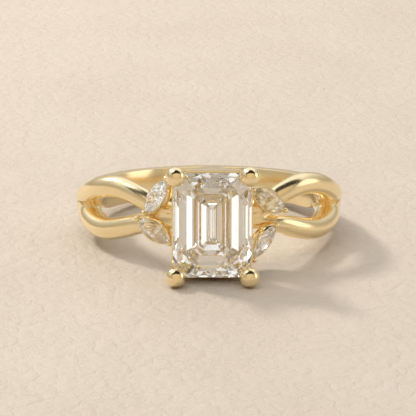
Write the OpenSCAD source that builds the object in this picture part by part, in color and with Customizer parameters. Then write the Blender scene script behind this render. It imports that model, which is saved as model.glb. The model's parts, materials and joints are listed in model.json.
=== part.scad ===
// Engagement ring: an emerald-cut stone in four ball claws, on a shank whose
// shoulders split into two crossing strands, with four leaf-shaped side stones.
// Millimetres. The finger passes along Z, and the head stands toward -Y.
// Angles run around the finger from the head: 0 is the head, 90 the right
// shoulder, -90 the left shoulder, 180 the back of the finger.

/* [Finger bore and back band] */
// Inside diameter, 17.3 for a US size 7
bore_d = 17.3; // [16.5:0.1:18.5]
// Width of the plain band behind the finger
band_w = 2.6; // [2.2:0.1:3]
// Outside radius of the shoulders, where the ring is widest
shoulder_r = 10.76; // [10.5:0.01:11]
// How far the band's outside is shifted toward the head, which thins the back
band_shift = 0.5; // [0.3:0.05:0.7]
// Angle where the strands end and the plain band begins
join_a = 114; // [110:1:118]

/* [Strands] */
// Half width of a strand where it is free
strand_hw = 0.87; // [0.7:0.01:1]
// Half width of a strand where it reaches the head
neck_hw = 0.5; // [0.4:0.05:0.7]
// Height of the straight side of the back band, below its round top
band_side = 0.9; // [0.6:0.05:1]
// Sideways reach of the left strand that lies on top
over_left = 1.92; // [1.6:0.01:2.3]
// Sideways reach of the right strand that lies on top
over_right = 2.2; // [1.6:0.01:2.3]
// Sideways reach of the strands that lie below
under_reach = 1.6; // [1.4:0.01:2]
// How much higher the over strands stand than the under ones at the sides
over_rise = 0.2; // [0:0.05:0.3]

/* [Centre stone] */
// Length of the stone, across the band
stone_l = 8.1; // [7.5:0.1:8.5]
// Width of the stone, around the finger
stone_w = 6; // [5.6:0.1:6.4]
// How much of each corner is cropped
stone_crop = 0.95; // [0.7:0.05:1.2]
// Height of the girdle's middle above the finger axis
girdle_h = 12.4; // [12.2:0.1:12.8]
// Height of the table above the girdle's middle
crown_h = 0.93; // [0.8:0.01:1.1]
// Depth of the keel below the girdle's middle
pavilion_h = 3; // [2.8:0.1:3.1]

/* [Head] */
// Diameter of the ball on each claw
ball_d = 1.56; // [1.4:0.02:1.7]
// Diameter of a claw's post
post_d = 0.96; // [0.8:0.02:1.1]
// Half spacing of the balls around the finger
ball_x = 2.82; // [2.7:0.01:2.95]
// Half spacing of the balls across the band
ball_z = 3.88; // [3.7:0.01:4]
// Height of the balls' centres above the finger axis
ball_h = 13.4; // [13.2:0.05:13.6]
// Depth of the rail that the stone sits on
rail_h = 0.7; // [0.5:0.05:0.8]
// How deep each gallery arch hangs below the seat rail
arch_drop = 1.7; // [1:0.1:1.7]

/* [Leaves] */
// Length of a leaf stone
leaf_l = 3.1; // [2.8:0.05:3.3]
// Width of a leaf stone
leaf_w = 1.6; // [1.4:0.05:1.7]
// Depth of a leaf stone below its girdle
leaf_depth = 0.62; // [0.5:0.02:0.7]
// Thickness of the metal around a leaf stone
collet_t = 0.11; // [0.08:0.01:0.2]
// Diameter of the bead at each leaf tip
bead_d = 0.46; // [0.36:0.02:0.54]

/* [Hidden] */

gold = "#E2BE72";
diamond = "#EDF2F6";
bore_r = bore_d / 2;
// radius where a strand's oval would end, and how deep its straight sides run
// before the bore is cut through them
oval_r = bore_r - 0.15;
core_r = bore_r - 1.2;
// where the strands start, beside the head, on the bridge across the finger
neck_a = 15;
neck_r = 9.6;
bridge_t = 0.6;
bridge_hw = 1.3;
bridge_r = bore_r + bridge_t;
// where each strand lies furthest to its side, and where it is back in the middle
over_crest_a = 51;
under_crest_a = 62;
over_close_a = 103;
under_close_a = 116;
// where the over strand starts to widen into the band, and where the under strand ends
widen_a = 92;
under_end_a = 100;
// solder seam between two strands that lie side by side
seam = 0.02;
// sideways reach and parting angle of each strand
left_over = [over_left, 28];
right_over = [over_right, 24];
left_under = [under_reach, 38];
right_under = [under_reach, 36];
steps = 44;
round_steps = 20;
girdle_t = 0.16;

// ---- curves of the shank ----

function ease(t) = let (u = min(max(t, 0), 1)) u * u * (3 - 2 * u);
function mix(p, q, t) = p + (q - p) * t;
function around(a, r, z) = [r * sin(a), -r * cos(a), z];

// outside radius of the shank, from the thin neck at the head to the band
function crest_r(a, over) =
    let (low = over ? 0 : over_rise * ease((a - 40) / 30) * ease((join_a - a) / 20))
    a < 90
    ? mix(neck_r, shoulder_r, ease((a - neck_a) / 68)) - low
    : shoulder_r + band_shift * cos(a) - low;

// half width of a strand, which narrows to the head; the over strand becomes the band
function half_w(a, over) =
    a < 60
    ? mix(neck_hw, strand_hw, over ? ease((a - neck_a) / 20) : ease((a - 22) / 22))
    : mix(strand_hw, band_w / 2, over ? ease((a - widen_a) / (join_a - widen_a)) : 0);

// how far a strand's middle is to its own side of the ring's middle plane
function side_z(a, over, reach, part_a) =
    let (
        crest_a = over ? over_crest_a : under_crest_a,
        close_a = over ? over_close_a : under_close_a,
        opening = a < part_a ? 0 : pow((a - part_a) / (crest_a - part_a), 1.25)
    )
    a < crest_a
    ? half_w(a, over) + (reach - strand_hw) * sin(90 * opening)
    : a < close_a
    ? reach * (1 + cos(180 * (a - crest_a) / (close_a - crest_a))) / 2
    : 0;

// height of the back band's top over its side, at a distance from its middle
function band_top(z, top) =
    let (side = bore_r + band_side)
    side + (top - side) * sqrt(max(0, 1 - pow(2 * z / band_w, 2)));

// section of a strand as [radius, side]: an oval with a flat inside where it is free,
// which turns into the band's section where the over strand joins the band
function section(a, over, z) =
    let (
        hw = half_w(a, over),
        top = crest_r(a, over),
        mid = (oval_r + top) / 2,
        blend = over ? ease((a - widen_a) / (join_a - widen_a)) : 0
    )
    [for (i = [0 : round_steps])
        let (
            t = -45 + 270 * (i - 1) / (round_steps - 2),
            root = i == 0 || i == round_steps,
            side = i < round_steps / 2 ? 1 : -1,
            oval = root
                ? [core_r, z + side * hw * cos(45)]
                : [mid + (top - mid) * sin(t), z + hw * cos(t)],
            band = root ? [core_r, side * hw]
                : t < 0 || t > 180 ? [oval_r, side * hw]
                : [band_top(hw * cos(t), top), hw * cos(t)]
        )
        oval + (band - oval) * blend];

// side face of the over strand that the under strand lies against
function over_side(a, r, over_z) =
    let (top = crest_r(a, true), mid = (oval_r + top) / 2, u = (r - mid) / (top - mid))
    half_w(a, true) * (u < -0.7 ? 0.71 : sqrt(max(0, 1 - u * u))) - over_z;

// the under strand's section, let in to the side of the over strand
function under_section(a, z, over_z) =
    let (pts = section(a, false, z))
    [for (i = [0 : round_steps])
        let (p = pts[i], gap = seam * (2 - i / round_steps))
        [p[0], max(p[1], over_side(a, p[0], over_z) + gap)]];

function reversed(list) = [for (i = [len(list) - 1 : -1 : 0]) list[i]];

// closed body through a list of rings with the same number of points
module loft(rings, flip) {
    n = len(rings[0]);
    m = len(rings);
    walls = [
        for (i = [0 : m - 2], j = [0 : n - 1])
            let (k = (j + 1) % n, p = i * n + j, q = i * n + k)
            each [[p, q, q + n], [p, q + n, p + n]]
    ];
    // each end is a ladder of narrow faces, so that a waisted section stays flat
    last = [
        for (j = [0 : ceil(n / 2) - 2])
            let (k = n - 1 - j)
            [for (i = j + 1 == k - 1 ? [j, j + 1, k] : [j, j + 1, k - 1, k]) (m - 1) * n + i]
    ];
    first = [for (f = last) [for (i = reversed(f)) i - (m - 1) * n]];
    faces = concat(walls, first, last);
    polyhedron([for (r = rings) each r], flip ? [for (f = faces) reversed(f)] : faces, convexity = 6);
}

// the metal of one strand: side is 1 on the right, over_way and under_way are the
// strand's sideways reach and the angle where it parts from its neighbour
module over_loft(side, way) {
    rings = [
        for (i = [0 : steps])
            let (a = mix(neck_a, join_a, i / steps), z = side_z(a, true, way[0], way[1]))
            [for (p = section(a, true, z)) around(side * a, p[0], p[1])]
    ];
    loft(rings, side > 0);
}

module under_loft(side, way, over_way) {
    rings = [
        for (i = [0 : steps])
            let (
                a = mix(neck_a, under_end_a, i / steps),
                z = side_z(a, false, way[0], way[1]),
                over_z = side_z(a, true, over_way[0], over_way[1])
            )
            [for (p = under_section(a, z, over_z)) around(side * a, p[0], -p[1])]
    ];
    loft(rings, side < 0);
}

// finishes a strand: the finger bore, and seats for the two leaf collets beside it
module strand(side) {
    color(gold)
    difference() {
        children();
        bore();
        place_leaf(side, 1) collet_blank();
        place_leaf(side, -1) collet_blank();
        lower_rail_blank(bridge_r - 1);
    }
}

module bore() {
    cylinder(h = 12, r = bore_r, center = true, $fn = 180);
}

// wedge of the space around the finger, from one angle to another
module wedge(from_a, to_a, r) {
    n = 8;
    pts = [for (i = [0 : n]) let (p = around(mix(from_a, to_a, i / n), r, 0)) [p[0], p[1]]];
    linear_extrude(height = 10, center = true) polygon(concat([[0, 0]], pts));
}

module back_band() {
    n = 16;
    color(gold)
    difference() {
        intersection() {
            translate([0, -band_shift, 0])
            rotate_extrude($fn = 180)
            polygon(concat(
                [[core_r - 1, -band_w / 2]],
                [for (i = [0 : n])
                    let (z = -band_w / 2 * cos(180 * i / n)) [band_top(z, shoulder_r), z]],
                [[core_r - 1, band_w / 2]]
            ));
            wedge(join_a, 360 - join_a, 24);
        }
        bore();
    }
}

module finger_bridge() {
    color(gold)
    rotate([0, 0, -90 - neck_a])
    rotate_extrude(angle = 2 * neck_a, $fn = 180)
    translate([bore_r, -bridge_hw])
    square([bridge_t, 2 * bridge_hw]);
}

// ---- centre stone ----

// cropped rectangle of the stone, inset all round, at a height above the axis
function cut_outline(inset, h) =
    let (
        x = stone_w / 2 - inset,
        z = stone_l / 2 - inset,
        c = max(stone_crop - inset * 0.3, 0.02)
    )
    [for (p = [
        [x - c, z], [x, z - c], [x, c - z], [x - c, -z],
        [c - x, -z], [-x, c - z], [-x, z - c], [c - x, z]
    ]) [p[0], -h, p[1]]];

module emerald_cut() {
    top = girdle_h + girdle_t / 2;
    low = girdle_h - girdle_t / 2;
    keel = girdle_h - pavilion_h;
    table = girdle_h + crown_h;
    rings = [
        cut_outline(1.02, table),
        cut_outline(0.62, mix(top, table, 0.72)),
        cut_outline(0.3, mix(top, table, 0.42)),
        cut_outline(0, top),
        cut_outline(0, low),
        cut_outline(0.62, mix(low, keel, 0.33)),
        cut_outline(1.6, mix(low, keel, 0.68)),
        cut_outline(stone_w / 2 - 0.03, keel)
    ];
    loft(rings, true);
}

module centre_stone() {
    color(diamond) emerald_cut();
}

// ---- head ----

module between(p, q, d) {
    v = q - p;
    translate(p)
    rotate([0, acos(v[2] / norm(v)), atan2(v[1], v[0])])
    cylinder(h = norm(v), d = d, $fn = 48);
}

rail_top = girdle_h - 0.32;
rail_low = rail_top - rail_h;
rail_t = 0.8;
// how far the seat rail shows past the stone
rail_proud = 0.1;
lower_rail_x = 2.7;
lower_rail_z = 3.75;
lower_rail_top = 9.65;
// line of each claw's post, from inside the lower rail up to the ball
post_foot = [2.3, -lower_rail_top + 0.6, 3.02];
post_head = [ball_x, -ball_h, ball_z];

module post(sx, sz) {
    between(
        [sx * post_foot[0], post_foot[1], sz * post_foot[2]],
        [sx * post_head[0], post_head[1], sz * post_head[2]],
        post_d
    );
}

module all_posts() {
    for (sx = [-1, 1], sz = [-1, 1]) post(sx, sz);
}

module claw(sx, sz) {
    color(gold)
    difference() {
        union() {
            post(sx, sz);
            translate([sx * ball_x, -ball_h, sz * ball_z]) sphere(d = ball_d, $fn = 48);
        }
        // the foot stands flat on the lower rail
        translate([-8, -lower_rail_top, -8]) cube([16, 8, 16]);
        emerald_cut();
    }
}

// cropped rectangle seen from above the stone, half sizes x and z, cropped by c
function frame_outline(x, z, c) =
    [[x - c, z], [x, z - c], [x, c - z], [x - c, -z], [c - x, -z], [-x, c - z], [-x, z - c], [c - x, z]];

// plate with that outline between two heights above the finger axis
module frame_plate(x, z, c, low, high) {
    translate([0, -low, 0])
    rotate([90, 0, 0])
    linear_extrude(height = high - low)
    polygon(frame_outline(x, z, c));
}

module seat_rail() {
    x = stone_w / 2 + rail_proud;
    z = stone_l / 2 + rail_proud;
    color(gold)
    difference() {
        frame_plate(x, z, stone_crop, rail_low, rail_top);
        frame_plate(x - rail_t, z - rail_t, stone_crop - 0.25, rail_low - 1, rail_top + 1);
        emerald_cut();
        all_posts();
    }
}

module lower_rail_blank(low) {
    frame_plate(lower_rail_x, lower_rail_z, 0.5, low, lower_rail_top);
}

module lower_rail() {
    color(gold)
    difference() {
        lower_rail_blank(bore_r - 1);
        frame_plate(lower_rail_x - rail_t, lower_rail_z - rail_t, 0.2, 5, lower_rail_top + 1);
        // the rail straddles the bridge
        cylinder(h = 12, r = bridge_r, center = true, $fn = 180);
    }
}

module gallery_arch(sz) {
    half = 2.2;
    n = 18;
    low_edge = [
        for (i = [0 : n])
            let (x = mix(half, -half, i / n))
            [x, rail_low - 0.12 - (arch_drop - 0.12) * (1 + cos(180 * x / half)) / 2]
    ];
    color(gold)
    difference() {
        translate([0, 0, sz > 0 ? 3.35 : -4.15])
        linear_extrude(height = 0.8)
        polygon([for (p = concat([[-half, rail_low], [half, rail_low]], low_edge)) [p[0], -p[1]]]);
        all_posts();
        emerald_cut();
    }
}

// ---- leaves ----

// Leaf frames on the right shoulder: middle of the girdle and the two tilts of its
// face. The left shoulder has the same two leaves turned half round the head.
top_leaf_mid = [4.47, -8.9, 1.2];
top_leaf_run = [-2.63, 1.85];
top_leaf_tilt = [0.45, 0.15];
low_leaf_mid = [4.22, -9.3, -1.8];
low_leaf_run = [-1.6, -2.49];
low_leaf_tilt = [0.9, -0.5];
// how far each pair of leaves was set off the middle of the head, by hand
top_leaf_shift = [0, 0, 0.15];
low_leaf_shift = [-0.1, 0, -0.08];

function unit(v) = v / norm(v);

// puts a leaf's own axes (length X, width Y, face Z) in its place
module place_leaf(side, up) {
    // the upper leaf of the right shoulder and the lower one of the left are a pair
    flat_one = side * up > 0;
    mid = flat_one ? top_leaf_mid : low_leaf_mid;
    run = flat_one ? top_leaf_run : low_leaf_run;
    tilt = flat_one ? top_leaf_tilt : low_leaf_tilt;
    n = unit([tilt[0], -1, tilt[1]]);
    u = unit([run[0], run[0] * tilt[0] + run[1] * tilt[1], run[1]]);
    v = cross(n, u);
    translate(flat_one ? top_leaf_shift : low_leaf_shift)
    rotate([0, side > 0 ? 0 : 180, 0])
    multmatrix([
        [u[0], v[0], n[0], mid[0]],
        [u[1], v[1], n[1], mid[1]],
        [u[2], v[2], n[2], mid[2]],
        [0, 0, 0, 1]
    ])
    children();
}

// pointed oval made of two arcs
function leaf_outline(l, w, n = 24) =
    let (r = (l * l + w * w) / (4 * w), top = asin(l / (2 * r)))
    concat(
        [for (i = [0 : n / 2 - 1])
            let (t = mix(top, -top, 2 * i / n)) [r * sin(t), r * cos(t) - (r - w / 2)]],
        [for (i = [0 : n / 2 - 1])
            let (t = mix(-top, top, 2 * i / n)) [r * sin(t), (r - w / 2) - r * cos(t)]]
    );

function leaf_ring(k, z) =
    [for (p = leaf_outline(leaf_l * k, leaf_w * k)) [p[0], p[1], z]];

module leaf_cut() {
    loft([
        leaf_ring(0.56, 0.3),
        leaf_ring(0.8, 0.2),
        leaf_ring(1, 0.03),
        leaf_ring(1, -0.03),
        leaf_ring(0.55, -0.4),
        leaf_ring(0.03, -leaf_depth)
    ], false);
}

module leaf_stone(side, up) {
    color(diamond) place_leaf(side, up) leaf_cut();
}

collet_low = -0.66;

module collet_blank() {
    translate([0, 0, collet_low])
    linear_extrude(height = -collet_low - 0.05)
    polygon(leaf_outline(leaf_l + 2 * collet_t, leaf_w + 2 * collet_t));
}

module leaf_collet(side, up) {
    color(gold)
    place_leaf(side, up)
    difference() {
        collet_blank();
        leaf_cut();
        translate([0, 0, collet_low - 1])
        linear_extrude(height = 1.5)
        polygon(leaf_outline(leaf_l * 0.5, leaf_w * 0.5));
    }
}

module leaf_claws(side, up) {
    color(gold)
    place_leaf(side, up)
    difference() {
        for (s = [-1, 1]) translate([s * (leaf_l / 2 + 0.06), 0, 0]) {
            translate([0, 0, -0.35]) cylinder(h = 0.4, d = bead_d / 2, $fn = 32);
            translate([0, 0, 0.1]) sphere(d = bead_d, $fn = 32);
        }
        collet_blank();
        leaf_cut();
    }
}

back_band();
finger_bridge();
strand(-1) over_loft(-1, left_over);  // left_over_strand
strand(-1) under_loft(-1, left_under, left_over);  // left_under_strand
strand(1) over_loft(1, right_over);  // right_over_strand
strand(1) under_loft(1, right_under, right_over);  // right_under_strand
seat_rail();
lower_rail();
gallery_arch(1);  // top_gallery_arch
gallery_arch(-1);  // bottom_gallery_arch
claw(-1, 1);  // claw_top_left
claw(1, 1);  // claw_top_right
claw(-1, -1);  // claw_bottom_left
claw(1, -1);  // claw_bottom_right
centre_stone();
leaf_collet(-1, 1);  // leaf_collet_top_left
leaf_collet(1, 1);  // leaf_collet_top_right
leaf_collet(-1, -1);  // leaf_collet_bottom_left
leaf_collet(1, -1);  // leaf_collet_bottom_right
leaf_stone(-1, 1);  // leaf_stone_top_left
leaf_stone(1, 1);  // leaf_stone_top_right
leaf_stone(-1, -1);  // leaf_stone_bottom_left
leaf_stone(1, -1);  // leaf_stone_bottom_right
leaf_claws(-1, 1);  // leaf_claws_top_left
leaf_claws(1, 1);  // leaf_claws_top_right
leaf_claws(-1, -1);  // leaf_claws_bottom_left
leaf_claws(1, -1);  // leaf_claws_bottom_right
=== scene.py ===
"""Looks of an engagement ring: crossing strands, a four-claw head and leaf side stones.

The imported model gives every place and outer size. Each piece here is a smoother, finer
body of the node that it replaces. Lengths are in metres. The finger passes along Z, the
head stands toward -Y, and angles round the finger run from the head to +X.
"""

import json
import logging
import math
from collections.abc import Iterable, Sequence
from dataclasses import dataclass, field
from enum import Enum
from typing import Any

import bmesh
import bpy
import numpy as np
from mathutils import Matrix, Vector


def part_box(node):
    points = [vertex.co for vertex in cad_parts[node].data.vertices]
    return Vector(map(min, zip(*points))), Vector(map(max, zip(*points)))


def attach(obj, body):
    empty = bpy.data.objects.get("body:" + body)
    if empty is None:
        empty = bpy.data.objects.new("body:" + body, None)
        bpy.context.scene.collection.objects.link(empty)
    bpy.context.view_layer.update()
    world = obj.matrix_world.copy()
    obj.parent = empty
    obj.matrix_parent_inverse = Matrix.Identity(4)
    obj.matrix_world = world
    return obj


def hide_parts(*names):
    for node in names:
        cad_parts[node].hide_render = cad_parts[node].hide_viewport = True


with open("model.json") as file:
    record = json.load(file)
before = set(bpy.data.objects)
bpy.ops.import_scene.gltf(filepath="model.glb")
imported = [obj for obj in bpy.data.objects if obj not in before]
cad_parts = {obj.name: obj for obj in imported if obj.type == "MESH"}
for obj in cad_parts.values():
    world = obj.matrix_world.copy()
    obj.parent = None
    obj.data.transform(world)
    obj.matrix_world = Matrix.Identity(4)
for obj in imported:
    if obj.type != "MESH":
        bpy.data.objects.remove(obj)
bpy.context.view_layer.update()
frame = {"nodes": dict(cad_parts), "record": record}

MM = 0.001
BODY = "root"
LOG = logging.getLogger("ring")

# numbers of the Mix node's sockets
MIX_AMOUNT = 0
MIX_LOW = 6
MIX_HIGH = 7
MIX_COLOUR = 2

# joining of close corners, and rounding of edges
WELD = 0.001 * MM
COPY_WELD = 0.002 * MM
SOFT_EDGE = 0.08 * MM
THIN_EDGE = 0.05 * MM

# degrees between faces that count as one flat
FACET_FLAT = 0.4
COPY_FLAT = 1.0

Colour = tuple[float, float, float]
Spot = tuple[float, float, float]
Pairs = list[tuple[float, float]]


class Named(Enum):
    """A choice whose word is in the nodes' names."""

    @property
    def word(self) -> str:
        """The word in a node's name."""
        return self.name.lower()


class Side(Named):
    """The two shoulders of the ring, and the way that each lies from the head."""

    LEFT = -1
    RIGHT = 1


class Level(Named):
    """The upper and the lower end of the head."""

    TOP = 1
    BOTTOM = -1


class Slot(Enum):
    """The record's material slots."""

    GOLD = "gold"
    DIAMOND = "diamond"


# ---- shader nodes ----


class Wire:
    """A number that a shader node gives, which takes part in sums."""

    def __init__(self, recipe: "Recipe", socket: bpy.types.NodeSocket) -> None:
        """Keeps the socket.

        Args:
            recipe: The recipe whose tree the socket is in.
            socket: The output that gives the number.
        """
        self.recipe = recipe
        self.socket = socket

    def _sum(self, operation: str, first: Any, second: Any) -> "Wire":
        """Adds a Math node.

        Args:
            operation: The Math node's operation.
            first: The first number or wire.
            second: The second number or wire.

        Returns:
            The node's result.
        """
        node = self.recipe.node("ShaderNodeMath", {"operation": operation}, {0: first, 1: second})
        return Wire(self.recipe, node.outputs[0])

    def __add__(self, other: Any) -> "Wire":
        """This number plus another."""
        return self._sum("ADD", self, other)

    def __sub__(self, other: Any) -> "Wire":
        """This number less another."""
        return self._sum("SUBTRACT", self, other)

    def __mul__(self, other: Any) -> "Wire":
        """This number times another."""
        return self._sum("MULTIPLY", self, other)

    def __pow__(self, other: Any) -> "Wire":
        """This number to a power."""
        return self._sum("POWER", self, other)


class Recipe:
    """The node tree of one material or of the room."""

    def __init__(self, owner: bpy.types.ID, coordinates: str = "Object") -> None:
        """Empties the tree of a material or a world.

        Args:
            owner: The material or the world.
            coordinates: What patterns lie on: the piece's own axes, or the way that a ray goes.
        """
        owner.use_nodes = True
        self.owner = owner
        self.tree = owner.node_tree
        self.tree.nodes.clear()
        self.place = self.node("ShaderNodeTexCoord").outputs[coordinates]

    def axes(self) -> list[Wire]:
        """The place's three coordinates."""
        parts = self.node("ShaderNodeSeparateXYZ", {}, {0: self.place})
        return [Wire(self, part) for part in parts.outputs]

    def ramp(self, amount: Wire, stops: Sequence[tuple[float, Colour]]) -> bpy.types.NodeSocket:
        """A colour from a ramp.

        Args:
            amount: Where on the ramp, from 0 to 1.
            stops: The ramp's stops, as pairs of a position and a colour.

        Returns:
            The colour.
        """
        return self.node("ShaderNodeValToRGB", {"stops": stops}, {0: amount}).outputs[0]

    def node(
        self, kind: str, settings: dict[str, Any] | None = None, values: dict[Any, Any] | None = None
    ) -> bpy.types.Node:
        """Adds a node.

        Args:
            kind: The node's type.
            settings: Its settings, which are set first. "stops" are a ramp's stops, as
                pairs of a position and a colour.
            values: The values, wires or sockets of its inputs, by name or number.

        Returns:
            The new node.
        """
        node = self.tree.nodes.new(kind)
        for name, value in (settings or {}).items():
            if name == "stops":
                ramp = node.color_ramp
                while len(ramp.elements) < len(value):
                    ramp.elements.new(0.5)
                for stop, (position, colour) in zip(ramp.elements, value):
                    stop.position = position
                    stop.color = (*colour, 1.0)
            else:
                setattr(node, name, value)
        for name, value in (values or {}).items():
            socket = node.inputs[name]
            if isinstance(value, Wire):
                self.tree.links.new(value.socket, socket)
            elif isinstance(value, bpy.types.NodeSocket):
                self.tree.links.new(value, socket)
            elif isinstance(value, tuple) and len(value) == 3 and socket.type == "RGBA":
                socket.default_value = (*value, 1.0)
            else:
                socket.default_value = value
        return node

    def noise(self, size: float, detail: float = 3.0, stretch: Sequence[float] = (1, 1, 1)) -> Wire:
        """A soft random number over the surface.

        Args:
            size: How large its patches are, in metres.
            detail: How many finer layers it has.
            stretch: How much it is squeezed along each axis.

        Returns:
            A number about 0.5, from 0 to 1.
        """
        turned = self.node("ShaderNodeMapping", {}, {"Vector": self.place, "Scale": tuple(stretch)})
        values = {"Vector": turned.outputs[0], "Scale": 1 / size, "Detail": detail}
        return Wire(self, self.node("ShaderNodeTexNoise", {}, values).outputs[0])

    def blend(self, amount: Wire, low: Colour, high: Colour) -> bpy.types.NodeSocket:
        """Mixes two colours.

        Args:
            amount: 0 for the first colour and 1 for the second.
            low: The first colour.
            high: The second colour.

        Returns:
            The mixed colour.
        """
        values = {MIX_AMOUNT: amount, MIX_LOW: low, MIX_HIGH: high}
        return self.node("ShaderNodeMix", {"data_type": "RGBA"}, values).outputs[MIX_COLOUR]

    def bump(self, height: Wire, depth: float) -> bpy.types.NodeSocket:
        """Turns a height into a bent normal.

        Args:
            height: The height, from 0 to 1.
            depth: How deep that is, in metres.

        Returns:
            The normal.
        """
        values = {"Height": height, "Distance": depth, "Strength": 1.0}
        return self.node("ShaderNodeBump", {}, values).outputs[0]

    def finish(self, values: dict[str, Any]) -> bpy.types.Material:
        """Ends the recipe in a Principled shader.

        Args:
            values: The shader's inputs.

        Returns:
            The finished material.
        """
        shader = self.node("ShaderNodeBsdfPrincipled", {}, values)
        self.node("ShaderNodeOutputMaterial", {}, {"Surface": shader.outputs[0]})
        return self.owner


# ---- finishes ----


@dataclass(frozen=True)
class PolishedGold:
    """Yellow gold, polished by hand: faint waves, and hairlines from the buff."""

    name: str = "polished_gold"
    colour: Colour = (0.97, 0.835, 0.55)
    deep_colour: Colour = (0.95, 0.785, 0.465)
    roughness: float = 0.125
    haze: float = 0.05
    wave: float = 0.0012 * MM
    wave_size: float = 2.5 * MM
    fine_size: float = 0.12 * MM
    hairline: float = 0.0002 * MM
    hairline_size: float = 0.05 * MM

    def material(self) -> bpy.types.Material:
        """The finish as a material."""
        recipe = Recipe(bpy.data.materials.new(self.name))
        cloud = recipe.noise(self.wave_size, 2.0)
        fine = recipe.noise(self.fine_size, 4.0)
        buff = recipe.noise(self.hairline_size, 2.0, (1.0, 0.12, 1.0))
        height = cloud * (self.wave / self.hairline) + buff
        return recipe.finish({
            "Base Color": recipe.blend(cloud * 0.7 + fine * 0.3, self.deep_colour, self.colour),
            "Metallic": 1.0,
            "Roughness": fine * self.haze + (self.roughness - self.haze / 2),
            "Normal": recipe.bump(height, self.hairline),
        })


@dataclass(frozen=True)
class CutDiamond:
    """Colourless diamond with polished facets."""

    name: str = "cut_diamond"
    colour: Colour = (1.0, 1.0, 1.0)
    cloud_colour: Colour = (0.985, 0.99, 1.0)
    cloud_size: float = 0.8 * MM
    refraction: float = 2.417

    def material(self) -> bpy.types.Material:
        """The finish as a material."""
        recipe = Recipe(bpy.data.materials.new(self.name))
        cloud = recipe.noise(self.cloud_size, 2.0)
        return recipe.finish({
            "Base Color": recipe.blend(cloud, self.cloud_colour, self.colour),
            "Roughness": 0.0,
            "IOR": self.refraction,
            "Transmission Weight": 1.0,
        })


@dataclass(frozen=True)
class PaleHide:
    """A pale dressing-table top in smooth hide, with fine creases."""

    name: str = "pale_hide"
    colour: Colour = (0.62, 0.54, 0.45)
    crease_colour: Colour = (0.53, 0.45, 0.365)
    roughness: float = 0.55
    crease: float = 0.22 * MM
    crease_size: float = 1.9 * MM
    pore_size: float = 0.7 * MM
    broad_size: float = 9 * MM

    def material(self) -> bpy.types.Material:
        """The finish as a material."""
        recipe = Recipe(bpy.data.materials.new(self.name))
        broad = recipe.noise(self.broad_size, 4.0)
        pores = recipe.noise(self.pore_size, 6.0)
        drawn = recipe.noise(self.crease_size, 3.0, (1.0, 0.8, 1.0)) - 0.5
        creases = (drawn * drawn) ** 0.25
        return recipe.finish({
            "Base Color": recipe.blend(broad * 0.8 + pores * 0.4, self.crease_colour, self.colour),
            "Roughness": self.roughness,
            "Normal": recipe.bump(creases * 0.7 + pores * 0.5 + broad * 0.8, self.crease),
        })


@dataclass(frozen=True)
class PlainCard:
    """A studio card of one colour."""

    name: str
    colour: Colour
    glow: float = 0.0

    def material(self) -> bpy.types.Material:
        """The finish as a material."""
        return Recipe(bpy.data.materials.new(self.name)).finish({
            "Base Color": self.colour,
            "Roughness": 0.9,
            "Specular IOR Level": 0.1,
            "Emission Color": self.colour,
            "Emission Strength": self.glow,
        })


# ---- mesh work ----


def ease(value: float) -> float:
    """A smooth step from 0 to 1.

    Args:
        value: Where on the step. Past 0 and 1 it is held.

    Returns:
        The step's height.
    """
    held = min(max(value, 0.0), 1.0)
    return held * held * (3 - 2 * held)


def mix(low: float, high: float, amount: float) -> float:
    """A value between two others.

    Args:
        low: The value at 0.
        high: The value at 1.
        amount: How far it is from the first to the second.

    Returns:
        The value.
    """
    return low + (high - low) * amount


def around(angle: float, radius: float, height: float) -> Vector:
    """A place round the finger.

    Args:
        angle: Degrees from the head.
        radius: How far it is from the finger's axis.
        height: How far it is along the finger.

    Returns:
        The place.
    """
    turn = math.radians(angle)
    return Vector((radius * math.sin(turn), -radius * math.cos(turn), height))


def ball_profile(radius: float, neck: float, height: float, steps: int) -> Pairs:
    """Profile of a ball on a round neck, from where it leaves the neck up to its top.

    Args:
        radius: The ball's radius.
        neck: The neck's radius.
        height: The height of the ball's middle.
        steps: How many steps the profile has.

    Returns:
        Pairs of radius and height.
    """
    start = math.asin(neck / radius)
    points = []
    for i in range(steps + 1):
        turn = math.pi - start - (math.pi - start) * i / steps
        out = radius * math.sin(turn) if i < steps else 0.0
        points.append((out, height + radius * math.cos(turn)))
    return points


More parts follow.
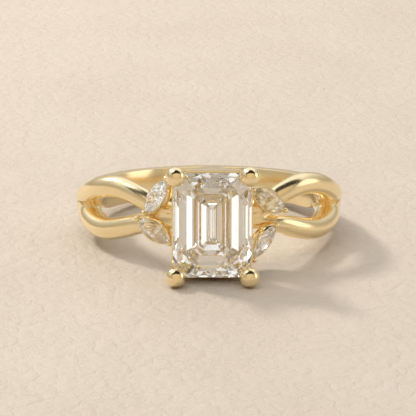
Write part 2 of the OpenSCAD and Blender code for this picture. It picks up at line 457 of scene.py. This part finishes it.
class Workpiece:
    """One piece on the bench: a bmesh, which becomes an object of the ring."""

    def __init__(self, name: str) -> None:
        """Starts an empty piece.

        Args:
            name: The piece's name.
        """
        self.name = name
        self.mesh = bmesh.new()

    def pull(self, ring: list[bmesh.types.BMVert], places: Sequence[Vector]) -> list[bmesh.types.BMVert]:
        """Pulls a closed ring of edges on to its next places.

        Args:
            ring: The ring's vertices, in order.
            places: Where they go.

        Returns:
            The new ring's vertices, in the same order.
        """
        edges = [e for v in ring for e in v.link_edges if e.is_boundary or e.is_wire]
        made = bmesh.ops.extrude_edge_only(self.mesh, edges=list(set(edges)))["geom"]
        fresh = {g for g in made if isinstance(g, bmesh.types.BMVert)}
        follow = [next(e.other_vert(v) for e in v.link_edges if e.other_vert(v) in fresh) for v in ring]
        for vert, place in zip(follow, places):
            vert.co = place
        return follow

    def sweep(self, rings: Sequence[Sequence[Vector]], closed: bool = False) -> None:
        """Draws a tube through rings with the same number of points.

        Args:
            rings: The places of each ring.
            closed: Whether the last ring joins the first, or else both ends are filled.
        """
        verts = bmesh.ops.create_circle(self.mesh, segments=len(rings[0]), radius=MM)["verts"]
        for vert, place in zip(verts, rings[0]):
            vert.co = place
        ring = verts
        for places in rings[1:]:
            ring = self.pull(ring, places)
        if closed:
            edges = [e for e in self.mesh.edges if e.is_boundary]
            bmesh.ops.bridge_loops(self.mesh, edges=edges)
        else:
            bmesh.ops.holes_fill(self.mesh, edges=self.mesh.edges[:], sides=0)
        self.face_outwards()

    def turn(self, profile: Sequence[tuple[float, float]], place: Matrix, steps: int) -> None:
        """Turns a profile on the lathe.

        Args:
            profile: Pairs of radius and height, from the foot to the tip.
            place: Where the lathe's axis Z and origin go.
            steps: How many steps a turn has.
        """
        verts = [self.mesh.verts.new((radius, 0, height)) for radius, height in profile]
        edges = [self.mesh.edges.new(pair) for pair in zip(verts, verts[1:])]
        bmesh.ops.spin(
            self.mesh, geom=verts + edges, cent=(0, 0, 0), axis=(0, 0, 1),
            angle=math.tau, steps=steps, use_merge=True,
        )
        fresh = [v for v in self.mesh.verts if not v.tag]
        bmesh.ops.transform(self.mesh, matrix=place, verts=fresh)
        bmesh.ops.remove_doubles(self.mesh, verts=fresh, dist=WELD)
        for vert in self.mesh.verts:
            vert.tag = True
        self.face_outwards()

    def hull(self, points: Iterable[Vector]) -> None:
        """Cuts a stone: the flat facets that lie over a set of corners.

        Args:
            points: The corners.
        """
        verts = [self.mesh.verts.new(p) for p in points]
        made = bmesh.ops.convex_hull(self.mesh, input=verts)
        inside = made["geom_interior"] + made["geom_unused"]
        spare = {g for g in inside if isinstance(g, bmesh.types.BMVert)}
        bmesh.ops.delete(self.mesh, geom=list(spare), context="VERTS")
        self.join_flats(FACET_FLAT)

    def copy_node(self, node: str) -> None:
        """Takes a copy of a node of the frame, with its loose faces joined.

        Args:
            node: The node's name.
        """
        self.mesh.from_mesh(frame["nodes"][node].data)
        bmesh.ops.remove_doubles(self.mesh, verts=self.mesh.verts[:], dist=COPY_WELD)
        self.join_flats(COPY_FLAT)

    def join_flats(self, angle: float) -> None:
        """Joins faces that lie in one plane.

        Args:
            angle: How far they may differ, in degrees.
        """
        bmesh.ops.dissolve_limit(
            self.mesh, angle_limit=math.radians(angle), verts=self.mesh.verts[:], edges=self.mesh.edges[:]
        )
        self.face_outwards()

    def round_edges(self, radius: float, sharper_than: float = 25.0, segments: int = 3) -> None:
        """Rounds the sharp edges, as polishing does.

        Args:
            radius: How far from an edge the rounding starts.
            sharper_than: The least angle between two faces that is rounded, in degrees.
            segments: How many faces the rounding has.
        """
        limit = math.radians(sharper_than)
        edges = [e for e in self.mesh.edges if len(e.link_faces) == 2 and e.calc_face_angle(0) > limit]
        bmesh.ops.bevel(
            self.mesh, geom=edges, offset=radius, offset_type="OFFSET", segments=segments, profile=0.5,
            affect="EDGES", clamp_overlap=True, material=-1,
        )

    def face_outwards(self) -> None:
        """Turns every face outwards."""
        bmesh.ops.recalc_face_normals(self.mesh, faces=self.mesh.faces[:])

    def finished(
        self, nodes: Sequence[str], material: bpy.types.Material, crease: float | None = 38.0
    ) -> bpy.types.Object:
        """Makes the object, dresses it and puts it in the place of its nodes.

        Args:
            nodes: The nodes that it stands for.
            material: Its finish.
            crease: The angle past which an edge stays crisp, or None for flat facets.

        Returns:
            The object.
        """
        data = bpy.data.meshes.new(self.name)
        self.mesh.to_mesh(data)
        self.mesh.free()
        if crease is not None:
            data.shade_smooth()
            data.set_sharp_from_angle(angle=math.radians(crease))
        data.materials.append(material)
        piece = bpy.data.objects.new(self.name, data)
        bpy.context.scene.collection.objects.link(piece)
        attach(piece, BODY)
        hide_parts(*nodes)
        LOG.info("%s: %d faces, for %s", self.name, len(data.polygons), ", ".join(nodes))
        return piece


# ---- shank ----


@dataclass
class Shank:
    """The band behind the finger, and the two strands that it splits into at each shoulder."""

    gold: bpy.types.Material
    bore: float = frame["record"]["mounts"][0]["dims"]["r_mm"] * MM
    shoulder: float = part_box("right_over_strand")[1].x
    band_half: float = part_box("back_band")[1].z
    band_shift: float = 0.5 * MM
    band_side: float = 0.9 * MM
    strand_half: float = 0.87 * MM
    neck_half: float = 0.5 * MM
    neck: float = 9.6 * MM
    over_rise: float = 0.2 * MM
    reach: dict[Side, float] = field(init=False)
    under_reach: float = 1.6 * MM
    parting: dict[Side, float] = field(default_factory=lambda: {Side.LEFT: 28.0, Side.RIGHT: 24.0})
    under_parting: dict[Side, float] = field(default_factory=lambda: {Side.LEFT: 38.0, Side.RIGHT: 36.0})
    start: float = 15.0
    join: float = 114.0
    widen: float = 92.0
    under_end: float = 112.0
    over_crest: float = 51.0
    under_crest: float = 62.0
    over_close: float = 103.0
    under_close: float = 116.0
    edge: float = 0.1 * MM
    root: float = 0.15 * MM
    fillet: float = 0.7 * MM
    lap: float = 0.01 * MM
    creep: float = 0.004 * MM
    step: float = 1.0
    oval_steps: int = 96
    oval_from: float = -45.0
    oval_to: float = 225.0
    flat_sine: float = 0.7072
    flat_half: float = 0.7
    nick: float = 0.3
    opening: float = 1.25
    sink_start: float = 40.0
    sink_run: float = 30.0
    rise_run: float = 20.0
    swell_run: float = 68.0
    over_widen_run: float = 20.0
    under_widen_start: float = 22.0
    under_widen_run: float = 22.0
    full_from: float = 60.0
    under_crease: float = 20.0

    def __post_init__(self) -> None:
        """Takes from the frame how far each upper strand goes to its side."""
        self.reach = {s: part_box(f"{s.word}_over_strand")[1].z - self.strand_half for s in Side}

    def crest(self, angle: float, over: bool) -> float:
        """Outside radius at an angle.

        Args:
            angle: Degrees from the head.
            over: Whether it is the strand on top.

        Returns:
            The radius.
        """
        low = 0.0
        if not over:
            sunk = ease((angle - self.sink_start) / self.sink_run)
            low = self.over_rise * sunk * ease((self.join - angle) / self.rise_run)
        if angle < 90:
            return mix(self.neck, self.shoulder, ease((angle - self.start) / self.swell_run)) - low
        return self.shoulder + self.band_shift * math.cos(math.radians(angle)) - low

    def half(self, angle: float, over: bool) -> float:
        """Half width of a strand at an angle.

        Args:
            angle: Degrees from the head.
            over: Whether it is the strand on top.

        Returns:
            Half the width.
        """
        if angle < self.full_from:
            if over:
                grown = ease((angle - self.start) / self.over_widen_run)
            else:
                grown = ease((angle - self.under_widen_start) / self.under_widen_run)
            return mix(self.neck_half, self.strand_half, grown)
        spread = ease((angle - self.widen) / (self.join - self.widen)) if over else 0.0
        return mix(self.strand_half, self.band_half, spread)

    def offset(self, angle: float, over: bool, reach: float, parting: float) -> float:
        """How far a strand's middle is to its own side of the ring's middle plane.

        Args:
            angle: Degrees from the head.
            over: Whether it is the strand on top.
            reach: The furthest that it goes.
            parting: The angle where it leaves its neighbour.

        Returns:
            The distance.
        """
        crest = self.over_crest if over else self.under_crest
        close = self.over_close if over else self.under_close
        if angle < crest:
            opening = 0.0 if angle < parting else ((angle - parting) / (crest - parting)) ** self.opening
            spread = (reach - self.strand_half) * math.sin(math.pi / 2 * opening)
            return self.half(angle, over) + spread
        if angle < close:
            return reach * (1 + math.cos(math.pi * (angle - crest) / (close - crest))) / 2
        return 0.0

    def band_top(self, height: float, top: float) -> float:
        """Outside radius of the band's round top, at a height from its middle.

        Args:
            height: The height.
            top: The radius at the middle.

        Returns:
            The radius.
        """
        side = self.bore + self.band_side
        return side + (top - side) * math.sqrt(max(0.0, 1 - (height / self.band_half) ** 2))

    def section(self, angle: float, over: bool, offset: float) -> Pairs:
        """Section of a strand: an oval with a flat inside, which turns into the band's.

        Args:
            angle: Degrees from the head.
            over: Whether it is the strand on top.
            offset: The strand's middle.

        Returns:
            Pairs of radius and height, all the way round.
        """
        half = self.half(angle, over)
        top = self.crest(angle, over)
        low = self.bore - self.root
        middle = (low + top) / 2
        blend = ease((angle - self.widen) / (self.join - self.widen)) if over else 0.0
        points = []
        for i in range(self.oval_steps + 1):
            turn = math.radians(mix(self.oval_from, self.oval_to, i / self.oval_steps))
            side = 1 if i < self.oval_steps / 2 else -1
            oval = (middle + (top - middle) * math.sin(turn), half * math.cos(turn))
            if math.sin(turn) < 0:
                up = 1 + math.sin(turn) / self.flat_sine
                band = (self.bore + self.edge + (self.band_side - self.edge) * up, side * half)
            else:
                band = (self.band_top(half * math.cos(turn), top), half * math.cos(turn))
            points.append((mix(oval[0], band[0], blend), mix(oval[1], band[1], blend)))
        inner = half * mix(self.flat_half, 1.0, blend)
        nick = self.nick * self.edge
        corner = [(self.bore + nick, inner - nick), (self.bore, inner - self.edge)]
        points += [(r, -h) for r, h in corner] + [(r, h) for r, h in reversed(corner)]
        return [(r, offset + h) for r, h in points]

    def depth(self, angle: float, over: bool, offset: float, place: tuple[float, float]) -> float:
        """About how far outside a strand's oval a place is, or inside if less than 0.

        Args:
            angle: Degrees from the head.
            over: Whether it is the strand on top.
            offset: The strand's middle.
            place: The radius and height.

        Returns:
            The distance.
        """
        top, low = self.crest(angle, over), self.bore - self.root
        rise, half = (top - low) / 2, self.half(angle, over)
        return (math.hypot((place[0] - low - rise) / rise, (place[1] - offset) / half) - 1) * half

    def let_in(
        self, angle: float, place: tuple[float, float], offset: float, over_offset: float
    ) -> tuple[float, float]:
        """Moves a place of the lower strand's oval in or out, to a soft fillet against the upper one.

        Args:
            angle: Degrees from the head.
            place: The radius and height of a place on the oval.
            offset: The lower strand's middle.
            over_offset: The upper strand's middle, on the lower strand's own side.

        Returns:
            The place's new radius and height.
        """
        middle = (self.bore - self.root + self.crest(angle, False)) / 2
        way = Vector((place[0] - middle, place[1] - offset))
        length = way.length
        way.normalize()

        def clear(reach: float) -> tuple[float, float]:
            """The distances outside the upper oval and outside the fillet, at a reach."""
            spot = (middle + way.x * reach, offset + way.y * reach)
            upper = self.depth(angle, True, over_offset, spot)
            lower = self.depth(angle, False, offset, spot)
            close = max(self.fillet - abs(upper - lower), 0.0) / self.fillet
            return upper, min(upper, lower) - close * close * self.fillet / 4

        reach = length
        while reach > 0 and clear(reach)[0] < -self.lap:
            reach -= self.creep
        if reach == length:
            while reach < length + self.fillet:
                upper, outside = clear(reach)
                if upper < -self.lap or outside > 0:
                    break
                reach += self.creep
        return middle + way.x * reach, offset + way.y * reach

    def over_strand(self, side: Side) -> bpy.types.Object:
        """The strand that lies on top at a shoulder and runs through into the band."""
        work = Workpiece(f"strand_over_{side.word}")
        steps = round((self.join - self.start) / self.step)
        rings = []
        for i in range(steps + 1):
            angle = mix(self.start, self.join, i / steps)
            offset = self.offset(angle, True, self.reach[side], self.parting[side])
            rings.append([around(side.value * angle, r, h) for r, h in self.section(angle, True, offset)])
        work.sweep(rings)
        return work.finished([f"{side.word}_over_strand"], self.gold)

    def under_strand(self, side: Side) -> bpy.types.Object:
        """The strand that lies below at a shoulder, let in to the side of the other."""
        work = Workpiece(f"strand_under_{side.word}")
        steps = round((self.under_end - self.start) / self.step)
        rings = []
        for i in range(steps + 1):
            angle = mix(self.start, self.under_end, i / steps)
            over = self.offset(angle, True, self.reach[side], self.parting[side])
            offset = self.offset(angle, False, self.under_reach, self.under_parting[side])
            points = self.section(angle, False, offset)
            fitted = [self.let_in(angle, p, offset, -over) for p in points]
            rings.append([around(side.value * angle, max(r, self.bore), -h) for r, h in fitted])
        work.sweep(rings)
        return work.finished([f"{side.word}_under_strand"], self.gold, self.under_crease)

    def back_band(self) -> bpy.types.Object:
        """The plain band behind the finger."""
        work = Workpiece("band_behind_finger")
        steps = round(2 * (180 - self.join) / self.step)
        rings = []
        for i in range(steps + 1):
            angle = mix(self.join, 360 - self.join, i / steps)
            rings.append([around(angle, r, h) for r, h in self.section(angle, True, 0.0)])
        work.sweep(rings)
        return work.finished(["back_band"], self.gold)

    def bridge(self) -> bpy.types.Object:
        """The bridge across the finger, under the head."""
        work = Workpiece("bridge_under_head")
        work.copy_node("finger_bridge")
        work.round_edges(SOFT_EDGE)
        return work.finished(["finger_bridge"], self.gold)

    def build(self) -> None:
        """Makes every piece of the shank."""
        self.back_band()
        self.bridge()
        for side in Side:
            self.over_strand(side)
            self.under_strand(side)


# ---- head ----


@dataclass
class Head:
    """The centre stone, its claws, the rails and the gallery arches."""

    gold: bpy.types.Material
    diamond: bpy.types.Material
    ball: float = 0.78 * MM
    post: float = 0.48 * MM
    neck: float = 0.40 * MM
    foot_x: float = 2.3 * MM
    foot_z: float = 3.02 * MM
    taper_from: float = 0.6
    neck_drop: float = 0.9
    ball_steps: int = 30
    lathe_steps: int = 64
    crop: float = 0.95 * MM
    crop_share: float = 0.3
    least_crop: float = 0.02 * MM
    girdle: float = 0.16 * MM
    crown: float = 0.93 * MM
    crown_steps: tuple[tuple[float, float], ...] = ((1.02, 1.0), (0.62, 0.72), (0.3, 0.42))
    pavilion_steps: tuple[tuple[float, float], ...] = ((0.62, 0.33), (1.6, 0.68), (2.97, 1.0))

    def outline(self, inset: float, height: float) -> list[Vector]:
        """The stone's cropped rectangle at a height.

        Args:
            inset: How far inside the girdle it is.
            height: How far above the finger's axis it is.

        Returns:
            Its eight corners.
        """
        low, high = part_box("centre_stone")
        x = (high.x - low.x) / 2 - inset
        z = (high.z - low.z) / 2 - inset
        crop = max(self.crop - inset * self.crop_share, self.least_crop)
        corners = [(x - crop, z), (x, z - crop)]
        corners += [(a, -b) for a, b in reversed(corners)]
        corners += [(-a, b) for a, b in reversed(corners)]
        return [Vector((a, -height, b)) for a, b in corners]

    def centre_stone(self) -> bpy.types.Object:
        """The step-cut centre stone."""
        low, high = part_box("centre_stone")
        table, keel = -low.y, -high.y
        rim = table - self.crown
        top, base = rim + self.girdle / 2, rim - self.girdle / 2
        points = self.outline(0.0, top) + self.outline(0.0, base)
        for inset, part in self.crown_steps:
            points += self.outline(inset * MM, mix(top, table, part))
        for inset, part in self.pavilion_steps:
            points += self.outline(inset * MM, mix(base, keel, part))
        work = Workpiece("stone_emerald_cut")
        work.hull(points)
        return work.finished(["centre_stone"], self.diamond, None)

    def claw(self, side: Side, level: Level) -> bpy.types.Object:
        """A claw: a turned post with a ball on it.

        Args:
            side: Which side of the head it is on.
            level: Which end of the head it is at.

        Returns:
            The claw.
        """
        node = f"claw_{level.word}_{side.word}"
        low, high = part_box(node)
        out_x = high.x if side is Side.RIGHT else low.x
        out_z = high.z if level is Level.TOP else low.z
        ball_x = out_x - side.value * self.ball
        ball_z = out_z - level.value * self.ball
        centre = Vector((ball_x, low.y + self.ball, ball_z))
        foot = Vector((side.value * self.foot_x, high.y, level.value * self.foot_z))
        foot = centre + (foot - centre) * ((high.y - centre.y) / (foot.y - centre.y))
        axis = centre - foot
        length = axis.length
        profile = [
            (0.0, 0.0), (self.post, 0.0), (self.post, length * self.taper_from),
            (self.neck, length - self.ball * self.neck_drop),
        ]
        profile += ball_profile(self.ball, self.neck, length, self.ball_steps)
        place = Matrix.Translation(foot) @ axis.to_track_quat("Z", "Y").to_matrix().to_4x4()
        work = Workpiece(node + "_ball")
        work.turn(profile, place, self.lathe_steps)
        return work.finished([node], self.gold)

    def polished_copy(self, name: str, node: str, radius: float) -> bpy.types.Object:
        """A rail or an arch with its edges rounded by polishing.

        Args:
            name: The piece's name.
            node: The node that it stands for.
            radius: How far from an edge the rounding starts.

        Returns:
            The piece.
        """
        work = Workpiece(name)
        work.copy_node(node)
        work.round_edges(radius)
        return work.finished([node], self.gold)

    def build(self) -> None:
        """Makes every piece of the head."""
        self.centre_stone()
        for level in Level:
            for side in Side:
                self.claw(side, level)
            self.polished_copy(f"gallery_{level.word}", f"{level.word}_gallery_arch", SOFT_EDGE)
        self.polished_copy("rail_under_stone", "seat_rail", THIN_EDGE)
        self.polished_copy("rail_on_shank", "lower_rail", SOFT_EDGE)


# ---- leaves ----


@dataclass
class Leaf:
    """A leaf-shaped stone in its collet, with a bead claw at each tip."""

    side: Side
    level: Level
    gold: bpy.types.Material
    diamond: bpy.types.Material
    length: float = 3.1 * MM
    width: float = 1.6 * MM
    crown: float = 0.3 * MM
    rim: float = 0.11 * MM
    lip: float = 0.06 * MM
    hole: float = 0.5
    collet_low: float = 0.66 * MM
    collet_steps: int = 72
    bead: float = 0.23 * MM
    bead_out: float = 0.06 * MM
    bead_up: float = 0.1 * MM
    stem_low: float = 0.45 * MM
    bead_steps: int = 14
    lathe_steps: int = 28
    cut: tuple[tuple[float, int, float, float], ...] = (
        (1.0, 20, 0.0, 0.03), (1.0, 20, 0.0, -0.03), (0.84, 12, 0.5, 0.16), (0.72, 12, 0.0, 0.245),
        (0.5, 8, 0.5, 0.3), (0.72, 12, 0.5, -0.26), (0.42, 10, 0.0, -0.47), (0.16, 6, 0.0, -0.62),
    )

    @property
    def word(self) -> str:
        """The leaf's words in a node's name."""
        return f"{self.level.word}_{self.side.word}"

    def seat(self) -> Matrix:
        """Where the leaf lies: X along it, Z out of its face, the girdle's middle at the origin."""
        mesh = frame["nodes"][f"leaf_stone_{self.word}"].data
        points = np.unique(np.array([v.co[:] for v in mesh.vertices]).round(7), axis=0)
        axes = np.linalg.svd(points - points.mean(0), full_matrices=False)[2]
        long, face = Vector(axes[0]), Vector(axes[2])
        if face.y > 0:
            face.negate()
        along, out = points @ np.array(long), points @ np.array(face)
        across_axis = face.cross(long)
        across = points @ np.array(across_axis)
        middle = long * ((along.min() + along.max()) / 2)
        middle += across_axis * ((across.min() + across.max()) / 2)
        middle += face * (out.max() - self.crown)
        turn = Matrix((long, across_axis, face)).transposed().to_4x4()
        return Matrix.Translation(middle) @ turn

    def outline(self, scale: float, steps: int, shift: float = 0.0, grow: float = 0.0) -> Pairs:
        """Pointed oval of two arcs.

        Args:
            scale: Its size beside the stone's.
            steps: How many points it has.
            shift: Where the first one is, in steps.
            grow: How much larger it is all round.

        Returns:
            Its points.
        """
        length, width = self.length * scale + 2 * grow, self.width * scale + 2 * grow
        radius = (length * length + width * width) / (4 * width)
        tip = math.asin(length / (2 * radius))
        points = []
        for i in range(steps):
            part = ((i + shift) / steps * 2) % 2
            upper = part < 1
            turn = mix(tip, -tip, part) if upper else mix(-tip, tip, part - 1)
            rise = radius * math.cos(turn) - (radius - width / 2)
            points.append((radius * math.sin(turn), rise if upper else -rise))
        return points

    def stone(self) -> bpy.types.Object:
        """The leaf stone, brilliant cut."""
        seat = self.seat()
        points = [
            seat @ Vector((x, y, height * MM))
            for scale, corners, shift, height in self.cut
            for x, y in self.outline(scale, corners, shift)
        ]
        work = Workpiece(f"leaf_{self.word}_stone")
        work.hull(points)
        return work.finished([f"leaf_stone_{self.word}"], self.diamond, None)

    def collet(self) -> bpy.types.Object:
        """The metal cup that holds the stone, with a thin polished rim."""
        seat = self.seat()
        walls = [
            (self.hole, 0.0, -self.collet_low), (1.0, 0.5 * self.rim, -self.collet_low),
            (1.0, self.rim, -self.collet_low + SOFT_EDGE), (1.0, self.rim, -self.lip),
            (1.0, 0.7 * self.rim, 0.0), (1.0, 0.15 * self.rim, 0.0),
            (1.0, 0.0, -self.lip), (0.62, 0.0, -0.36 * MM), (self.hole, 0.0, -0.5 * MM),
        ]
        rings = [
            [seat @ Vector((x, y, z)) for x, y in self.outline(scale, self.collet_steps, 0.0, grow)]
            for scale, grow, z in walls
        ]
        work = Workpiece(f"leaf_{self.word}_collet")
        work.sweep(rings, closed=True)
        return work.finished([f"leaf_collet_{self.word}"], self.gold)

    def claws(self) -> bpy.types.Object:
        """The bead claws at the two tips."""
        work = Workpiece(f"leaf_{self.word}_claws")
        seat = self.seat()
        stem = self.bead / 2
        for way in (-1, 1):
            centre = Vector((way * (self.length / 2 + self.bead_out), 0, self.bead_up))
            profile = [(0.0, -self.stem_low), (stem, -self.stem_low)]
            profile += ball_profile(self.bead, stem, 0.0, self.bead_steps)
            work.turn(profile, seat @ Matrix.Translation(centre), self.lathe_steps)
        return work.finished([f"leaf_claws_{self.word}"], self.gold)

    def build(self) -> None:
        """Makes the leaf's stone, collet and claws."""
        self.stone()
        self.collet()
        self.claws()


# ---- studio ----


@dataclass(frozen=True)
class Card:
    """A round card, which shows in what is mirrored, or else only through a stone.

    The camera doesn't see it and it throws no shadow. Its place is as for a lamp.
    """

    name: str
    colour: Colour
    glow: float
    place: Spot
    radius: float
    mirrored: bool = True


@dataclass(frozen=True)
class Lamp:
    """An oval soft light that looks at the ring.

    Its place is degrees to the right of the camera's side, degrees above the ring's
    middle plane, and how far away it is. One for the stones counts only through them.
    """

    name: str
    place: Spot
    size: tuple[float, float]
    watts: float
    colour: Colour
    for_stones: bool = False


@dataclass
class Studio:
    """The floor, cards, lights and camera."""

    floor_half: float = 0.6
    floor_gap: float = 0.02 * MM
    ball_foot: float = 0.78 * MM
    band_foot: float = 0.3 * MM
    distance: float = 0.22
    elevation: float = 9.552
    yaw: float = -1.164
    roll: float = 0.109
    lens: float = 235.06
    sensor: float = 36.0
    clip: tuple[float, float] = (0.01, 10)
    aim: tuple[float, float, float] = (-0.0805 * MM, 0.0, -0.7584 * MM)
    room: tuple[tuple[float, Colour], ...] = (
        (0.00, (0.46, 0.41, 0.34)), (0.50, (0.52, 0.44, 0.34)), (0.62, (0.38, 0.34, 0.28)),
        (0.78, (0.62, 0.61, 0.59)), (0.90, (0.95, 0.94, 0.92)), (1.00, (0.80, 0.80, 0.79)),
    )
    room_cloud: float = 0.55
    room_mottle: float = 0.3
    room_glow: float = 1.15
    cards: tuple[Card, ...] = (
        Card("dark_disc", (0.014, 0.012, 0.008), 0.0, (9, 42, 0.34), 0.40),
        Card("tan_disc", (0.50, 0.43, 0.32), 0.7, (9, 28, 0.32), 0.315),
        Card("white_disc", (1.0, 0.97, 0.92), 0.65, (84, 16, 0.34), 0.11),
    )
    lamps: tuple[Lamp, ...] = (
        Lamp("key", (-125, 48, 0.40), (0.07, 0.07), 0.95, (1.0, 0.97, 0.93)),
        Lamp("fill", (-50, 66, 0.45), (0.25, 0.25), 0.3, (1.0, 0.99, 0.97)),
    )
    strips: tuple[tuple[float, float, float], ...] = (
        (-78, 0.08, 1.5), (-56, 0.06, 1.9), (-36, 0.08, 1.4), (-15, 0.05, 2.3),
        (6, 0.06, 1.9), (27, 0.08, 1.4), (50, 0.05, 2.3), (74, 0.09, 1.3),
    )
    strip_height: float = 0.62
    strip_colour: Colour = (0.88, 0.95, 1.0)
    dark_spots: tuple[tuple[float, float], ...] = (
        (-52, 48), (14, 44), (58, 56), (-20, 66), (34, 24), (-66, 20),
    )
    spot_colour: Colour = (0.06, 0.05, 0.04)
    spot_radius: float = 0.045
    spot_away: float = 0.34
    sparks: tuple[tuple[float, float], ...] = (
        (-62, 40), (-24, 52), (22, 60), (60, 40), (0, 80), (-40, -28),
        (42, -28), (92, 12), (-92, 12), (40, 74), (100, 50), (-100, 50),
    )
    spark_size: float = 0.03
    spark_watts: float = 0.012
    spark_colour: Colour = (1.0, 1.0, 1.0)
    lamp_away: float = 0.40
    bounces: int = 32
    inner_bounces: int = 24

    def stage_piece(self, name: str, mesh: bmesh.types.BMesh, finish: Any) -> bpy.types.Object:
        """Makes a piece of the studio from its mesh.

        Args:
            name: The piece's name.
            mesh: The mesh, which is freed.
            finish: Its finish.

        Returns:
            The piece.
        """
        data = bpy.data.meshes.new(name)
        mesh.to_mesh(data)
        mesh.free()
        data.materials.append(finish.material())
        piece = bpy.data.objects.new(name, data)
        bpy.context.scene.collection.objects.link(piece)
        return piece

    def direction(self, azimuth: float, elevation: float) -> Vector:
        """A direction from the ring.

        Args:
            azimuth: Degrees from the camera's side to the right.
            elevation: Degrees above the ring's middle plane.

        Returns:
            The direction, one long.
        """
        turn, rise = math.radians(azimuth), math.radians(elevation)
        level = math.cos(rise)
        return Vector((math.sin(turn) * level, -math.cos(turn) * level, math.sin(rise)))

    def looking_back(self, azimuth: float, elevation: float, distance: float) -> Matrix:
        """A place out in a direction, turned so that its -Z looks at the ring.

        Args:
            azimuth: Degrees from the camera's side to the right.
            elevation: Degrees above the ring's middle plane.
            distance: How far away it is.

        Returns:
            The place.
        """
        out = self.direction(azimuth, elevation)
        return Matrix.Translation(out * distance) @ out.to_track_quat("Z", "Y").to_matrix().to_4x4()

    def floor_tilt(self) -> tuple[Vector, float]:
        """Where the ring rests.

        Returns:
            A point under the lower balls, and the angle at which the floor rises behind it.
        """
        ball_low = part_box("claw_bottom_left")[0]
        front = Vector((0, ball_low.y + self.ball_foot, ball_low.z))
        band_low, band_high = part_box("back_band")
        back = Vector((0, band_high.y - self.band_foot, band_low.z))
        return front, math.atan2(back.z - front.z, back.y - front.y)

    def floor(self) -> None:
        """The pale floor, which the lower balls and the back band rest on."""
        front, rise = self.floor_tilt()
        turn = Matrix.Rotation(rise, 4, "X")
        gap = turn @ Vector((0, 0, -self.floor_gap))
        mesh = bmesh.new()
        bmesh.ops.create_grid(mesh, size=self.floor_half, matrix=Matrix.Translation(front + gap) @ turn)
        floor = self.stage_piece("floor", mesh, PaleHide())
        # through a stone, the room and the lamps show instead of the floor
        floor.visible_transmission = False

    def light(self, lamp: Lamp) -> None:
        """Hangs a lamp.

        Args:
            lamp: The lamp.
        """
        data = bpy.data.lights.new(lamp.name, "AREA")
        data.shape = "ELLIPSE"
        data.size, data.size_y = lamp.size
        data.energy = lamp.watts
        data.color = lamp.colour
        hung = bpy.data.objects.new(lamp.name, data)
        hung.matrix_world = self.looking_back(*lamp.place)
        bpy.context.scene.collection.objects.link(hung)
        if lamp.for_stones:
            hung.visible_glossy = False
            hung.visible_diffuse = False

    def disc(self, card: Card) -> None:
        """Sets up a card.

        Args:
            card: The card.
        """
        place = self.looking_back(*card.place)
        mesh = bmesh.new()
        bmesh.ops.create_circle(mesh, segments=64, radius=card.radius, cap_ends=True, matrix=place)
        disc = self.stage_piece(card.name, mesh, PlainCard(card.name, card.colour, card.glow))
        disc.visible_camera = False
        disc.visible_shadow = False
        disc.visible_diffuse = False
        disc.visible_glossy = card.mirrored
        disc.visible_transmission = not card.mirrored

    def world(self) -> None:
        """The room's glow, which is uneven and brighter above."""
        world = bpy.data.worlds.new("room")
        recipe = Recipe(world, "Generated")
        up = recipe.axes()[2] * 0.5 + 0.5
        cloud = recipe.noise(self.room_cloud, 2.0) * self.room_mottle - self.room_mottle / 2
        glow = recipe.ramp(up + cloud, self.room)
        back = recipe.node("ShaderNodeBackground", {}, {"Color": glow, "Strength": self.room_glow})
        recipe.node("ShaderNodeOutputWorld", {}, {"Surface": back.outputs[0]})
        bpy.context.scene.world = world

    def camera(self) -> None:
        """The camera, level with the shoulders and a little above."""
        data = bpy.data.cameras.new("camera")
        data.lens = self.lens
        data.sensor_width = self.sensor
        data.clip_start, data.clip_end = self.clip
        eye = bpy.data.objects.new("camera", data)
        out = self.direction(self.yaw, self.elevation)
        turn = out.to_track_quat("Z", "Y").to_matrix().to_4x4()
        eye.matrix_world = (
            Matrix.Translation(Vector(self.aim) + out * self.distance) @ turn
            @ Matrix.Rotation(math.radians(self.roll), 4, "Z")
        )
        bpy.context.scene.collection.objects.link(eye)
        bpy.context.scene.camera = eye

    def build(self) -> None:
        """Sets up the studio."""
        self.floor()
        self.world()
        for card in self.cards:
            self.disc(card)
        for azimuth, elevation in self.dark_spots:
            place = (azimuth, elevation, self.spot_away)
            self.disc(Card("dark_spot", self.spot_colour, 0.0, place, self.spot_radius, mirrored=False))
        for lamp in self.lamps:
            self.light(lamp)
        for azimuth, elevation in self.sparks:
            place = (azimuth, elevation, self.lamp_away)
            size = (self.spark_size, self.spark_size)
            self.light(Lamp("spark", place, size, self.spark_watts, self.spark_colour, for_stones=True))
        for azimuth, width, glow in self.strips:
            place = (azimuth, 0, self.lamp_away)
            size = (width, self.strip_height)
            watts = glow * width * self.strip_height
            self.light(Lamp("strip", place, size, watts, self.strip_colour, for_stones=True))
        self.camera()
        scene = bpy.context.scene
        scene.view_settings.view_transform = "Standard"
        scene.cycles.max_bounces = self.bounces
        scene.cycles.glossy_bounces = self.inner_bounces
        scene.cycles.transmission_bounces = self.inner_bounces


def main() -> None:
    """Builds the ring and its studio, and logs each piece's number of faces."""
    logging.basicConfig(level=logging.INFO, format="%(message)s")
    gold = PolishedGold().material()
    burnished = PolishedGold(name="burnished_gold", roughness=0.2).material()
    diamond = CutDiamond().material()
    Shank(burnished).build()
    Head(gold, diamond).build()
    for level in Level:
        for side in Side:
            Leaf(side, level, gold, diamond).build()
    Studio().build()


if __name__ == "__main__":
    main()
